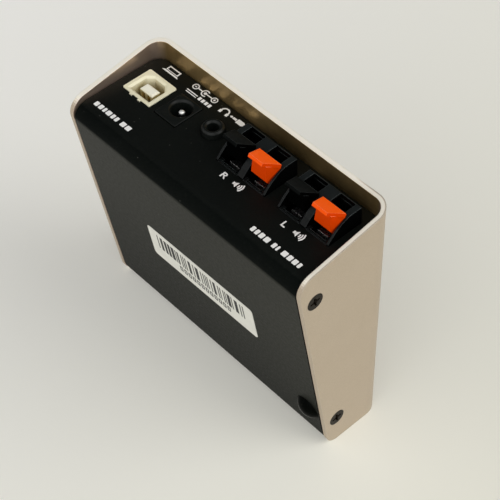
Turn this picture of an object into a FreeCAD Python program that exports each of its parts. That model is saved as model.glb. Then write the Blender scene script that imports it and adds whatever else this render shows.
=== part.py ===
# Desktop USB audio converter with built-in stereo amplifier.
# Wedge-shaped case: a folded cover (top and two sides) over a folded chassis (bottom, rear
# panel, front panel). The top slopes down to the front, and the rear and front panels stand
# square to the top. Millimetres, +Z up, +X to the right seen from the front, the front
# faces -Y. Origin: on the ground under the foot, midway between the lever tips and the cover nose.
#
# Two working frames are used:
#   case frame : z = 0 is the underside of the bottom plate, y = 0 is mid depth at the base.
#   deck frame : turned by TILT about X. s runs out of the rear panel, t runs up the panel,
#                square to the top plate. (s, t) = (0, 0) is the foot of the rear panel.
import FreeCAD, Part
import math
import os

Vector = FreeCAD.Vector
X_AXIS, Y_AXIS, Z_AXIS = Vector(1, 0, 0), Vector(0, 1, 0), Vector(0, 0, 1)
SIDES = (1, -1)            # +X or -X side, or the upper and lower of a pair

# ------------------------------------------------------------------ driving dimensions
# Names ending in _X, _Y, _Z, _S or _T are coordinates, _R radii and _THICK thicknesses.
TILT = 9.16                # slope of the top plate, degrees
COVER_HALF = 98.16 / 2     # half the outside width of the cover
RIM_Y = 86.0 / 2           # rear rim of the cover, half the depth of a side plate
TOP_T = 36.17              # outside of the top plate
COVER_THICK = 1.5
COVER_R = 6.0              # outside bend radius, top to side
SIDE_R_REAR = 5.5          # rounded lower corners of the side plates
SIDE_R_FRONT = 4.5
RECESS = 1.0               # rear panel behind the rim, at the base
PANEL_Y = RIM_Y - RECESS
FRONT_S = -83.9            # front rim of the cover
FRONT_RECESS = 1.0

CHASSIS_THICK = 1.2
CHASSIS_HALF = 47.1
CHASSIS_TOP_T = 34.3       # top edge of rear and front panel
CHASSIS_R_REAR = 4.5
CHASSIS_R_FRONT = 4.0
CHASSIS_R_TOP = 4.35       # upper corners of both panels

SIDE_SCREWS = ((31.9, 4.8), (-32.7, 5.0))      # (y, z) in the case frame
SIDE_SCREW_PLACES = [(side, y, z) for y, z in SIDE_SCREWS for side in SIDES]
SCREW_HEAD_R = 2.85
SCREW_R = 1.42

GAP = 0.02                 # clearance between touching parts
BOARD_T = 17.0             # top face of the circuit board
BOARD_THICK = 1.6
BOARD_HALF = 45.2
BOARD_S = (-71.0, -2.0)
SEAT = BOARD_T + GAP       # underside of the board-mounted parts
LEG_END = BOARD_T - 3.0    # lower end of the soldered legs
BOARD_SCREW_X = 36.5
BOARD_SCREW_S = (-31.5, -64.0)
BOARD_SCREWS = [(side * BOARD_SCREW_X, s) for s in BOARD_SCREW_S for side in SIDES]

DIAL_S = -41.5
DIAL_R = 20.0
DIAL_HEIGHT = 11.0
DIAL_GAP = 0.7             # between top plate and dial
DIAL_TURN = 150            # rest position, pointer at the front left, degrees
SHAFT_R = 3.0
SHAFT_FLAT = SHAFT_R - 1.2     # drive flat, from the axis
LIGHT_S = -67.5            # power light

FOOT_R = 4.5
FOOT_HEIGHT = 2.3
FOOT_X, FOOT_Y = -42.3, -27.8

USB_X = (32.1, 44.15)
USB_MID_X = sum(USB_X) / 2
USB_HEIGHT = 10.9
USB_MID_T = SEAT + USB_HEIGHT / 2
USB_TAB_X = (USB_MID_X - 1.85, USB_MID_X + 1.85)   # tabs and notches below the socket
USB_CONTACT_X = (USB_MID_X - 1.25, USB_MID_X + 1.25)
USB_TONGUE_HALF = 1.6      # half thickness of the tongue
DC_X = (20.6, 29.6)
DC_HEIGHT = 11.0
DC_AXIS_X = sum(DC_X) / 2 - 0.15
DC_AXIS_T = SEAT + 6.45
PHONES_X = 11.3
PHONES_T = 23.7
PHONES_BUSH_R = 3.4
PHONES_CONTACTS = ((-4.6, -1), (-8.0, 1), (-11.4, -1))     # (s, side)

TERM_X = {"right": 2.5, "left": -22.8}     # right-hand edge of each speaker terminal block
TERM_W = 20.0
TERM_TOP = 29.75
TERM_S = 6.0               # rearmost face of the terminal blocks, out of the panel
TERM_FLOOR = 17.65         # floor of the wire channels
LEVERS = {"black": 4.8, "orange": 15.2}    # lever centres, in from the right-hand edge
PIVOT = (2.0, 25.85)       # lever pivot (s, t)
LEVER_TIP = (10.6, 18.5)   # (s, t)

TILT_COS, TILT_SIN = math.cos(math.radians(TILT)), math.sin(math.radians(TILT))


# ------------------------------------------------------------------ helpers
def case_point(s, t):
    """Deck (s, t) to case (y, z)."""
    return PANEL_Y + s * TILT_COS - t * TILT_SIN, s * TILT_SIN + t * TILT_COS


def from_deck(shape):
    """Copy of a deck-frame shape placed in the case frame."""
    placed = shape.copy()
    placed.rotate(Vector(0, 0, 0), X_AXIS, TILT)
    placed.translate(Vector(0, PANEL_Y, 0))
    return placed


def box(x0, x1, y0, y1, z0, z1):
    corner = Vector(min(x0, x1), min(y0, y1), min(z0, z1))
    return Part.makeBox(abs(x1 - x0), abs(y1 - y0), abs(z1 - z0), corner)


def block(x, y, width, depth, z0, z1):
    """Box centred on (x, y)."""
    return box(x - width / 2, x + width / 2, y - depth / 2, y + depth / 2, z0, z1)


def polygon_face(points):
    return Part.Face(Part.makePolygon(points + [points[0]]))


def prism_x(outline, x0, x1):
    """Polygon of (y, z) pulled along x."""
    return polygon_face([Vector(x0, y, z) for y, z in outline]).extrude(Vector(x1 - x0, 0, 0))


def prism_y(outline, y0, y1):
    """Polygon of (x, z) pulled along y."""
    return polygon_face([Vector(x, y0, z) for x, z in outline]).extrude(Vector(0, y1 - y0, 0))


def cyl_x(y, z, radius, x0, x1):
    return Part.makeCylinder(radius, abs(x1 - x0), Vector(min(x0, x1), y, z), X_AXIS)


def cyl_y(x, z, radius, y0, y1):
    return Part.makeCylinder(radius, abs(y1 - y0), Vector(x, min(y0, y1), z), Y_AXIS)


def cyl_z(x, y, radius, z0, z1):
    return Part.makeCylinder(radius, abs(z1 - z0), Vector(x, y, min(z0, z1)), Z_AXIS)


def cone(start, end, start_r, end_r):
    axis = end.sub(start)
    return Part.makeCone(start_r, end_r, axis.Length, start, axis)


def fuse(items):
    joined = items[0]
    if len(items) > 1:
        joined = joined.multiFuse(items[1:])
    return joined.removeSplitter()


def near(edge, **place):
    """True when the middle of the edge lies at the given coordinates."""
    middle = edge.BoundBox.Center
    return all(abs(getattr(middle, axis) - value) < 0.06 for axis, value in place.items())


def is_along(edge, axis):
    if len(edge.Vertexes) != 2 or edge.Curve.TypeId != "Part::GeomLine":
        return False
    run = edge.Vertexes[1].Point.sub(edge.Vertexes[0].Point)
    if run.Length < 1e-6:
        return False
    run.normalize()
    return abs(run.dot(axis)) > 0.999


# Edge tests for round_edges and bevel_edges.
def lines(axis, **place):
    return lambda edge: is_along(edge, axis) and near(edge, **place)


def circles(**place):
    return lambda edge: edge.Curve.TypeId == "Part::GeomCircle" and near(edge, **place)


def edges_at(**place):
    return lambda edge: near(edge, **place)


def round_edges(shape, radius, test):
    """Fillet the edges that pass the test; unchanged when none does."""
    edges = [edge for edge in shape.Edges if test(edge)]
    return shape.makeFillet(radius, edges) if edges else shape


def bevel_edges(shape, size, test):
    """Chamfer the edges that pass the test; unchanged when none does."""
    edges = [edge for edge in shape.Edges if test(edge)]
    return shape.makeChamfer(size, edges) if edges else shape


def strip(path, width):
    """Closed outline of a band of constant width along a polyline."""
    normals = []
    for (a0, b0), (a1, b1) in zip(path, path[1:]):
        length = math.hypot(a1 - a0, b1 - b0)
        normals.append((-(b1 - b0) / length, (a1 - a0) / length))
    left, right = [], []
    for i, (a, b) in enumerate(path):
        beside = normals[max(i - 1, 0):i + 1]
        mean_a = sum(normal[0] for normal in beside) / len(beside)
        mean_b = sum(normal[1] for normal in beside) / len(beside)
        reach = width / 2 / (mean_a ** 2 + mean_b ** 2)
        left.append((a + mean_a * reach, b + mean_b * reach))
        right.append((a - mean_a * reach, b - mean_b * reach))
    return left + right[::-1]


def wedge(x, rows):
    """Convex body about x between parallel edges: rows of (s, t, half width) in ring order."""
    low = [Vector(x - half, s, t) for s, t, half in rows]
    high = [Vector(x + half, s, t) for s, t, half in rows]
    faces = []
    for i in range(len(rows)):
        j = (i + 1) % len(rows)
        faces.append(polygon_face([low[i], low[j], high[j], high[i]]))
    for ring in (low, high):
        for i in range(1, len(rows) - 1):
            faces.append(polygon_face([ring[0], ring[i], ring[i + 1]]))
    body = Part.makeSolid(Part.makeShell(faces))
    if body.Volume < 0:
        body.reverse()
    return body


board_holes = []     # (x, s, half width, half depth), noted while the parts are built


def pin(x, s, width, depth, top, bottom=LEG_END):
    """Square terminal leg through the board; notes the hole it needs."""
    board_holes.append((x, s, width / 2 + 0.12, depth / 2 + 0.12))
    return block(x, s, width, depth, bottom, top)


# ------------------------------------------------------------------ cover
def make_cover():
    # Blank and core run past the side outline, which trims them.
    blank = box(-COVER_HALF, COVER_HALF, FRONT_S, 12, -25, TOP_T)
    blank = round_edges(blank, COVER_R, lines(Y_AXIS, z=TOP_T))
    inner_half, inner_top = COVER_HALF - COVER_THICK, TOP_T - COVER_THICK
    core = box(-inner_half, inner_half, FRONT_S - 1, 13, -26, inner_top)
    core = round_edges(core, COVER_R - COVER_THICK, lines(Y_AXIS, z=inner_top))
    folded = from_deck(blank.cut(core))

    top_rear = case_point((RECESS + TOP_T * TILT_SIN) / TILT_COS, TOP_T)
    nose = case_point(FRONT_S, TOP_T)
    front_y = PANEL_Y + FRONT_S / TILT_COS
    side_view = prism_x([(RIM_Y, 0), top_rear, nose, (front_y, 0)], -60, 60)
    side_view = round_edges(side_view, SIDE_R_REAR, lines(X_AXIS, y=RIM_Y, z=0))
    side_view = round_edges(side_view, SIDE_R_FRONT, lines(X_AXIS, y=front_y, z=0))
    cover = folded.common(side_view)

    holes = []
    for side, y, z in SIDE_SCREW_PLACES:
        # countersink, carried 0.5 outside the sheet
        holes.append(cone(Vector(side * (COVER_HALF + 0.5), y, z), Vector(side * inner_half, y, z),
                          SCREW_HEAD_R + 0.1 + 0.5, SCREW_R + 0.1))
        holes.append(cyl_x(y, z, SCREW_R + 0.12,
                           side * (COVER_HALF + 1), side * (COVER_HALF - 3)))
    for s, radius in ((DIAL_S, 4.5), (LIGHT_S, 1.1)):
        holes.append(from_deck(cyl_z(0, s, radius, TOP_T - 4, TOP_T + 2)))
    return cover.cut(holes)


# ------------------------------------------------------------------ chassis
def chassis_block(inset, top, half):
    """Side outline of the chassis, moved inwards by inset and pulled across the width."""
    rear_s, front_s = -inset, FRONT_S + FRONT_RECESS + inset
    rear_y = PANEL_Y + (rear_s - inset * TILT_SIN) / TILT_COS
    front_y = PANEL_Y + (front_s - inset * TILT_SIN) / TILT_COS
    outline = [(rear_y, inset), case_point(rear_s, top), case_point(front_s, top),
               (front_y, inset)]
    body = prism_x(outline, -half, half)
    body = round_edges(body, CHASSIS_R_REAR - inset, lines(X_AXIS, y=rear_y, z=inset))
    return round_edges(body, CHASSIS_R_FRONT - inset, lines(X_AXIS, y=front_y, z=inset))


def panel_opening(x0, x1, t0, t1):
    return box(x0, x1, -4, 3, t0, t1)


def make_chassis():
    outer = chassis_block(0.0, CHASSIS_TOP_T, CHASSIS_HALF)
    inner = chassis_block(CHASSIS_THICK, CHASSIS_TOP_T + 8, CHASSIS_HALF + 2)
    shell = outer.cut(inner)
    trim = box(-CHASSIS_HALF, CHASSIS_HALF, -120, 20, -40, CHASSIS_TOP_T)
    trim = round_edges(trim, CHASSIS_R_TOP, lines(Y_AXIS, z=CHASSIS_TOP_T))
    shell = shell.common(from_deck(trim))

    # upright ears that take the side screws
    ear_half, ear_top = 5, 9.8
    ears, cuts = [], []
    for side, y, z in SIDE_SCREW_PLACES:
        ear = box(side * (CHASSIS_HALF - CHASSIS_THICK), side * CHASSIS_HALF,
                  y - ear_half, y + ear_half, 0.5, ear_top)
        ears.append(round_edges(ear, 2.0, lines(X_AXIS, z=ear_top)))
        cuts.append(cyl_x(y, z, 1.5, side * (CHASSIS_HALF - 4), side * (CHASSIS_HALF + 1)))
    shell = fuse([shell] + ears)

    # data socket with two notches below it, power, headphones, speaker terminals
    openings = [panel_opening(USB_X[0] - 0.2, USB_X[1] + 0.2,
                              BOARD_T - 0.1, SEAT + USB_HEIGHT + 0.2)]
    for x in USB_TAB_X:
        openings.append(panel_opening(x - 0.75, x + 0.75, BOARD_T - 0.75, BOARD_T))
    openings.append(panel_opening(DC_X[0] - 0.4, DC_X[1] + 0.2,
                                  BOARD_T - 0.4, SEAT + DC_HEIGHT + 0.2))
    openings.append(cyl_y(PHONES_X, PHONES_T, PHONES_BUSH_R + 0.2, -4, 3))
    for right_x in TERM_X.values():
        openings.append(panel_opening(right_x - TERM_W - 0.15, right_x + 0.15,
                                      BOARD_T - 0.1, TERM_TOP + 0.15))
    return shell.cut(cuts + [from_deck(opening) for opening in openings])


# ------------------------------------------------------------------ side screws
def make_cover_screw(side, y, z):
    """Countersunk screw with a cross recess that opens outwards."""
    def at(x):
        return Vector(side * x, y, z)

    shank_end = 43.3
    head = cone(at(COVER_HALF - 0.05), at(COVER_HALF - 1.48), SCREW_HEAD_R, SCREW_R)
    shank = cyl_x(y, z, SCREW_R, side * (COVER_HALF - 1.45), side * shank_end)
    tip = cone(at(shank_end), at(shank_end - 0.5), SCREW_R, 0.95)
    screw = head.fuse(shank).fuse(tip).removeSplitter()

    mouth = COVER_HALF - 0.04
    depth, reach, half_slot = 0.85, 1.75, 0.36
    x0, x1 = side * mouth, side * (mouth - depth)
    slot_y = box(x0, x1, y - reach, y + reach, z - half_slot, z + half_slot)
    slot_z = box(x0, x1, y - half_slot, y + half_slot, z - reach, z + reach)
    point = cone(at(mouth + 0.01), at(mouth - depth - 0.35), 0.95, 0.2)
    return screw.cut(slot_y.fuse(slot_z).fuse(point))


def make_cover_screws():
    return Part.makeCompound([make_cover_screw(*place) for place in SIDE_SCREW_PLACES])


# ------------------------------------------------------------------ underside and bottom plate
def make_rating_label():
    label = block(-0.5, -1.0, 47.0, 15.0, -0.1, 0)
    return round_edges(label, 1.3, lines(Z_AXIS))


def make_foot():
    """Spherical cap below the bottom plate."""
    ball_r = (FOOT_R ** 2 + FOOT_HEIGHT ** 2) / (2 * FOOT_HEIGHT)
    ball = Part.makeSphere(ball_r, Vector(FOOT_X, FOOT_Y, -FOOT_HEIGHT + ball_r))
    return ball.common(cyl_z(FOOT_X, FOOT_Y, FOOT_R, -FOOT_HEIGHT - 1, 0))


def make_insulator_sheet():
    floor = CHASSIS_THICK + GAP
    return box(-30, 30, -34, 24, floor, floor + 0.25)


# ------------------------------------------------------------------ board rails and screws
def make_board_rail(side):
    """Rail with an upright web between the sloping board and the level bottom plate."""
    outer_x = 42.0
    rear_s, front_s = -20.0, -69.0
    sheet = 1.0
    rail_top = BOARD_T - BOARD_THICK - GAP
    floor = CHASSIS_THICK + GAP
    rear_y, rear_z = case_point(rear_s, rail_top)
    front_y, front_z = case_point(front_s, rail_top)

    flange = box(side * 32.5, side * outer_x, front_s, rear_s, rail_top - sheet, rail_top)
    web_outline = [(rear_y, rear_z), (front_y, front_z), (front_y, floor), (rear_y, floor)]
    web = prism_x(web_outline, *sorted((side * (outer_x - sheet), side * outer_x)))
    base = box(side * 33.0, side * outer_x, front_y, rear_y, floor, floor + sheet)
    rail = fuse([from_deck(flange), web, base])

    holes = [from_deck(cyl_z(side * BOARD_SCREW_X, s, 1.5, rail_top - 2, rail_top + 1))
             for s in BOARD_SCREW_S]
    # window in the tall rear half of the web
    rear_top = case_point(-24, rail_top - 2.6)
    front_top = case_point(-44, rail_top - 2.6)
    sill = 3.6
    window = [rear_top, front_top, (front_top[0], sill), (rear_top[0], sill)]
    holes.append(prism_x(window, side * 38, side * 45))
    return rail.cut(holes)


def make_board_screw(x, s):
    head_top = BOARD_T + 1.9
    head = cyl_z(x, s, 2.75, SEAT, head_top)
    head = round_edges(head, 0.9, circles(z=head_top))
    shank = cyl_z(x, s, SCREW_R, BOARD_T - 3.6, BOARD_T + 0.5)
    screw = head.fuse(shank).removeSplitter()
    length, width = 3.0, 0.64     # cross recess
    slot_x = block(x, s, length, width, BOARD_T + 0.9, BOARD_T + 3)
    slot_s = block(x, s, width, length, BOARD_T + 0.9, BOARD_T + 3)
    return screw.cut(slot_x.fuse(slot_s))


# ------------------------------------------------------------------ data socket
USB_FACE_S = 0.25


def make_usb_housing():
    mid_x, mid_t = USB_MID_X, USB_MID_T
    housing = box(USB_X[0], USB_X[1], -16, USB_FACE_S, SEAT, SEAT + USB_HEIGHT)
    housing = round_edges(housing, 0.5, lines(Y_AXIS))
    half_w, half_h, corner = 4.25, 3.95, 1.9     # plug opening, upper corners cut off
    mouth = [(mid_x - half_w, mid_t - half_h),
             (mid_x + half_w, mid_t - half_h),
             (mid_x + half_w, mid_t + half_h - corner),
             (mid_x + half_w - corner, mid_t + half_h),
             (mid_x - half_w + corner, mid_t + half_h),
             (mid_x - half_w, mid_t + half_h - corner)]
    housing = housing.cut(prism_y(mouth, -12, 1))

    def on_mouth(edge):
        middle = edge.BoundBox.Center
        return (near(edge, y=USB_FACE_S) and abs(middle.x - mid_x) < half_w + 0.1
                and abs(middle.z - mid_t) < half_h + 0.1)

    # lead-in around the plug opening
    housing = bevel_edges(housing, 0.6, on_mouth)
    tongue_end = -0.6
    tongue = box(mid_x - 2.8, mid_x + 2.8, -12.2, tongue_end,
                 mid_t - USB_TONGUE_HALF, mid_t + USB_TONGUE_HALF)
    tongue = bevel_edges(tongue, 0.5, edges_at(y=tongue_end))
    housing = housing.fuse(tongue)
    tabs = [box(x - 0.55, x + 0.55, -1.15, USB_FACE_S, BOARD_T - 0.55, SEAT + 0.4)
            for x in USB_TAB_X]
    housing = fuse([housing] + tabs)

    grooves = []
    for x in USB_CONTACT_X:
        for side in SIDES:
            face = mid_t + side * USB_TONGUE_HALF
            grooves.append(box(x - 0.6, x + 0.6, -20, -1.6, face - side * 0.25, face + side * 0.3))
            if side < 0:
                # shaft for the leg of the lower contact
                grooves.append(box(x - 0.45, x + 0.45, -15.3, -14.5, SEAT - 1, face + 0.2))
    housing = housing.cut(grooves)
    return housing.cut([box(USB_X[0] + 2, USB_X[1] - 2, -17, -15.9, SEAT - 1, mid_t + 2.2)])


def make_usb_contacts():
    contacts = []
    upper = USB_MID_T + USB_TONGUE_HALF
    lower = USB_MID_T - USB_TONGUE_HALF
    leg_w, leg_d = 0.7, 0.6
    for x in USB_CONTACT_X:
        blade = box(x - 0.5, x + 0.5, -16.6, -1.8, upper - 0.22, upper + 0.12)
        drop = box(x - 0.5, x + 0.5, -17.2, -16.6, BOARD_T + 0.6, upper + 0.12)
        contacts.append(fuse([blade, drop, pin(x, -16.9, leg_w, leg_d, BOARD_T + 1.2)]))
        blade = box(x - 0.5, x + 0.5, -15.2, -1.8, lower + 0.22, lower - 0.12)
        contacts.append(fuse([blade, pin(x, -14.9, leg_w, leg_d, lower + 0.1)]))
    return Part.makeCompound(contacts)


def make_usb_board_locks():
    """A plate with one leg on each side of the housing."""
    locks = []
    for side, wall in ((-1, USB_X[0]), (1, USB_X[1])):
        plate = box(wall + side * 0.03, wall + side * 0.33, -12.4, -7.4, SEAT + 0.3, SEAT + 6)
        leg = pin(wall + side * 0.18, -9.9, 0.3, 2.2, SEAT + 1.0, bottom=BOARD_T - 3.2)
        locks.append(fuse([plate, leg]))
    return Part.makeCompound(locks)


# ------------------------------------------------------------------ power socket
def make_dc_jack_housing():
    x, t = DC_AXIS_X, DC_AXIS_T
    barrel_r = 3.2
    housing = box(DC_X[0], DC_X[1], -14, 0.15, SEAT, SEAT + DC_HEIGHT)
    housing = round_edges(housing, 0.4, lines(Y_AXIS))
    housing = housing.cut([
        cyl_y(x, t, barrel_r, -10.5, 1),
        cone(Vector(x, 0.2, t), Vector(x, -0.6, t), 3.8, barrel_r),
        cyl_y(x, t, 0.8, -15, -10),
        box(DC_X[0] + 1.2, DC_X[1] - 1.2, -13.2, -11.8, SEAT - 1, SEAT + 3)])
    # channel for the spring contact under the barrel
    return housing.cut([box(x - 1.6, x + 1.6, -9.8, -3.2, SEAT - 0.5, t)])


def make_dc_jack_pin():
    x, t = DC_AXIS_X, DC_AXIS_T
    pin_r, nose_s = 1.0, -1.8
    rod = fuse([cyl_y(x, t, pin_r, -10.4, nose_s), cyl_y(x, t, 0.75, -15.2, -10.3)])
    nose = Part.makeSphere(pin_r, Vector(x, nose_s, t))
    nose = nose.common(box(x - 2, x + 2, nose_s, 0, t - 2, t + 2))
    tail = box(x - 1.0, x + 1.0, -15.2, -14.7, BOARD_T + 0.4, t + 0.6)
    return fuse([rod, nose, tail, pin(x, -14.95, 1.4, 0.5, BOARD_T + 1.0)])


def make_dc_jack_spring():
    leg_s = -9.4
    path = [(-3.6, SEAT + 1.0), (-4.6, SEAT + 2.3), (-6.4, DC_AXIS_T - 3.6),
            (leg_s, SEAT + 1.6), (leg_s, LEG_END)]     # (s, t)
    board_holes.append((DC_AXIS_X, leg_s, 1.35, 0.35))
    return prism_x(strip(path, 0.35), DC_AXIS_X - 1.2, DC_AXIS_X + 1.2)


# ------------------------------------------------------------------ headphone socket
def make_phones_jack_housing():
    x, t = PHONES_X, PHONES_T
    top, bush_end, bore_r = t + 5.6, 2.5, 1.8
    housing = box(x - 6, x + 6, -15.5, -1.45, SEAT, top)
    housing = bevel_edges(housing, 0.6, lines(Y_AXIS, z=top))
    bush = cyl_y(x, t, PHONES_BUSH_R, -1.6, bush_end)
    bush = bevel_edges(bush, 0.55, circles(y=bush_end))
    housing = fuse([housing, bush])
    housing = housing.cut([cyl_y(x, t, bore_r, -14.5, 4),
                           cone(Vector(x, 2.55, t), Vector(x, 1.95, t), 2.4, bore_r)])
    slots = []
    for s, side in PHONES_CONTACTS:
        outer = x + side * 5.4
        slots.append(box(x + side * 1.2, outer, s - 0.9, s + 0.9, t - 0.9, t + 0.9))
        slots.append(box(x + side * 3.4, outer, s - 0.9, s + 0.9, SEAT - 1, t + 0.9))
    return housing.cut(slots)


def make_phones_jack_contacts():
    x, t = PHONES_X, PHONES_T
    half, top = 0.7, t + 0.15
    contacts = []
    for s, side in PHONES_CONTACTS:
        blade = box(x + side * 1.95, x + side * 4.6, s - half, s + half, t - 0.15, top)
        nub = cyl_y(x + side * 2.25, t, 0.32, s - half, s + half)
        leg = pin(x + side * 4.45, s, 0.3, 2 * half, top)
        contacts.append(fuse([blade, nub, leg]))
    return Part.makeCompound(contacts)


# ------------------------------------------------------------------ speaker terminals
# lower outline of a block (s, t), from inside the case out and up
TERM_BELLY = [(-9, SEAT), (0.3, SEAT), (1.05, 17.75), (2.1, 18.7), (3.2, 19.9), (4.2, 21.2),
              (5.0, 22.5), (5.6, 23.8), (5.9, 24.9), (TERM_S, 26.0)]


def make_terminal_housing(right_x):
    floor = TERM_FLOOR
    sill = TERM_TOP - 5.4                 # underside of the bar below the windows
    cavity_half = 4.1
    centres = [right_x - inset for inset in LEVERS.values()]
    profile = TERM_BELLY + [(TERM_S, TERM_TOP), (-9, TERM_TOP)]
    body = prism_x(profile, right_x - TERM_W, right_x)
    body = round_edges(body, 0.35, lines(X_AXIS, y=TERM_S, z=TERM_TOP))

    def leg_slot(x, top):
        return box(x - 0.65, x + 0.65, -6.5, -5.85, SEAT - 1, top)

    cuts, ribs = [], []
    for x in centres:
        left, right = x - cavity_half, x + cavity_half
        cuts.append(box(left, right, -6.5, TERM_S - 0.9, floor, TERM_TOP - 0.7))
        cuts.append(box(left, right, 0, 20, floor, sill))
        cuts.append(box(left, right, -0.1, 20, SEAT - 1, floor + 0.1))
        # window above the bar
        cuts.append(box(x - 2.85, x + 2.85, TERM_S - 1.5, TERM_S + 1, sill + 0.8, TERM_TOP - 0.45))
        cuts.append(cyl_x(*PIVOT, 1.05, x - 4.5, x + 4.5))
        cuts.append(leg_slot(x, floor + 0.5))
        for side in SIDES:
            ribs.append(box(x + side * 3.0, x + side * 4.15, -6.6, -0.1, floor - 0.1, floor + 1.25))
        # four low ridges across the floor
        for i in range(4):
            s = -4.1 + 1.3 * i
            ridge = [(s, floor - 0.1), (s + 0.7, floor - 0.1),
                     (s + 0.5, floor + 0.3), (s + 0.2, floor + 0.3)]
            ribs.append(prism_x(ridge, x - 3.05, x + 3.05))
    body = fuse([body.cut(cuts)] + ribs)
    return body.cut([leg_slot(x, floor + 0.8) for x in centres])


def make_terminal_contacts(right_x):
    """Bent leaf with a leg through the board behind each lever."""
    leg_s, sheet = -6.2, 0.35
    path = [(leg_s, TERM_FLOOR + 0.6), (leg_s, 27.3), (-5.2, 28.2), (-3.6, 27.3),
            (-0.95, 19.9), (-4.3, 18.5)]     # (s, t)
    leaves = []
    for inset in LEVERS.values():
        x = right_x - inset
        blade = prism_x(strip(path, sheet), x - 2.0, x + 2.0)
        leg = block(x, leg_s, 1.0, sheet, LEG_END, TERM_FLOOR + 1.0)
        board_holes.append((x, leg_s, 0.65, 0.3))
        leaves.append(fuse([blade, leg]))
    return Part.makeCompound(leaves)


def make_lever(x):
    root_s, root_t = root = (7.4, 24.15)  # upper edge of the finger plate
    root_half, tip_half = 4.45, 2.8
    inner_half = 4.0                      # half width inside the block
    plate_thick = 1.25
    run_s, run_t = LEVER_TIP[0] - root_s, LEVER_TIP[1] - root_t
    length = math.hypot(run_s, run_t)
    run_s, run_t = run_s / length, run_t / length

    def moved(point, along, outward):
        """Point moved down the finger plate and square to it."""
        return (point[0] + along * run_s - outward * run_t,
                point[1] + along * run_t + outward * run_s)

    root_under = moved(root, 0, -plate_thick)
    tip_under = moved(LEVER_TIP, 0, -plate_thick)
    plate = prism_x([root, LEVER_TIP, tip_under, root_under],
                    x - root_half - 0.5, x + root_half + 0.5)
    plate = round_edges(plate, 0.3, lambda edge: is_along(edge, X_AXIS) and (
        near(edge, y=root_s, z=root_t) or near(edge, y=tip_under[0], z=tip_under[1])))
    # The plate narrows towards its tip; the trimming wedge overshoots it all round.
    narrowing = (root_half - tip_half) / length
    taper = []
    for point, half, along, outward in ((root, root_half, -3, 0.6), (LEVER_TIP, tip_half, 1, 0.6),
                                        (tip_under, tip_half, 1, -0.6),
                                        (root_under, root_half, -3, -0.6)):
        taper.append((*moved(point, along, outward), half - along * narrowing))
    plate = plate.common(wedge(x, taper))

    back_s, back_t = moved(tip_under, -1.2, 0.3)
    core = wedge(x, [(1.0, root_t, inner_half), (6.4, root_t, inner_half), (back_s, back_t, 2.0),
                     (2.5, 19.5, 3.2), (1.6, 20.2, 3.35)])
    shoulder = wedge(x - 1.5, [(1.0, root_t, 2.5), (6.4, root_t, 2.5), (back_s, back_t, 2.0),
                               (2.5, 19.5, 1.75), (1.6, 20.2, 1.9)])
    arm = prism_x([(0.6, root_t - 0.2), (3.2, root_t - 0.2), (3.2, 26.6), (2.9, 27.15),
                   (1.2, 27.15), (0.6, 26.6)], x - inner_half, x + inner_half)
    axle = cyl_x(*PIVOT, 1.0, x - 4.4, x + 4.4)
    # two small ridges across the outward face of the arm
    ridges = [prism_x(outline, x - 1.8, x + 1.8) for outline in (
        [(3.0, 25.8), (3.7, 25.9), (3.7, 26.1), (3.0, 26.2)],
        [(3.0, 26.35), (3.5, 26.4), (3.5, 26.55), (3.0, 26.6)])]
    return fuse([plate, core, shoulder, arm, axle] + ridges)


# ------------------------------------------------------------------ volume control
POT_TOP = 28.6
SHAFT_TOP = 44.0
DIAL_BOTTOM = TOP_T + DIAL_GAP
DIAL_TOP = DIAL_BOTTOM + DIAL_HEIGHT
HUB_R = 6.0


def turned(shape):
    """Turn a shape built about the origin to the rest position and move it to the dial axis."""
    shape.rotate(Vector(0, 0, 0), Z_AXIS, DIAL_TURN)
    shape.translate(Vector(0, DIAL_S, 0))
    return shape


def make_volume_pot_base():
    base = block(0, DIAL_S, 12.8, 12.8, SEAT, 21.2)
    return base.cut(cyl_z(0, DIAL_S, 3.3, 18.0, 22))


def make_volume_pot_case():
    case = block(0, DIAL_S, 13.2, 13.2, 21.24, POT_TOP)
    case = round_edges(case, 0.8, lines(Z_AXIS))
    bushing = cyl_z(0, DIAL_S, 3.9, POT_TOP - 0.5, 33.2)
    return fuse([case, bushing]).cut(cyl_z(0, DIAL_S, SHAFT_R + 0.05, 20, 34))


def make_volume_pot_legs():
    return Part.makeCompound([fuse([pin(x, DIAL_S + side * 6.75, 0.9, 0.35, 20.4)])
                              for x in (-4, 0, 4) for side in SIDES])


def make_volume_shaft():
    shaft = cyl_z(0, DIAL_S, SHAFT_R, 18.3, SHAFT_TOP)
    shaft = bevel_edges(shaft, 0.4, circles(z=SHAFT_TOP))
    # flat that drives the dial
    return shaft.cut(turned(box(-4, 4, SHAFT_FLAT, 5, 35.2, 45)))


def dial_dish():
    """Large ball whose underside hollows the dial top."""
    ball_r = 160.0
    return Part.makeSphere(ball_r, Vector(0, DIAL_S, DIAL_TOP - 0.7 + ball_r))


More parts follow.
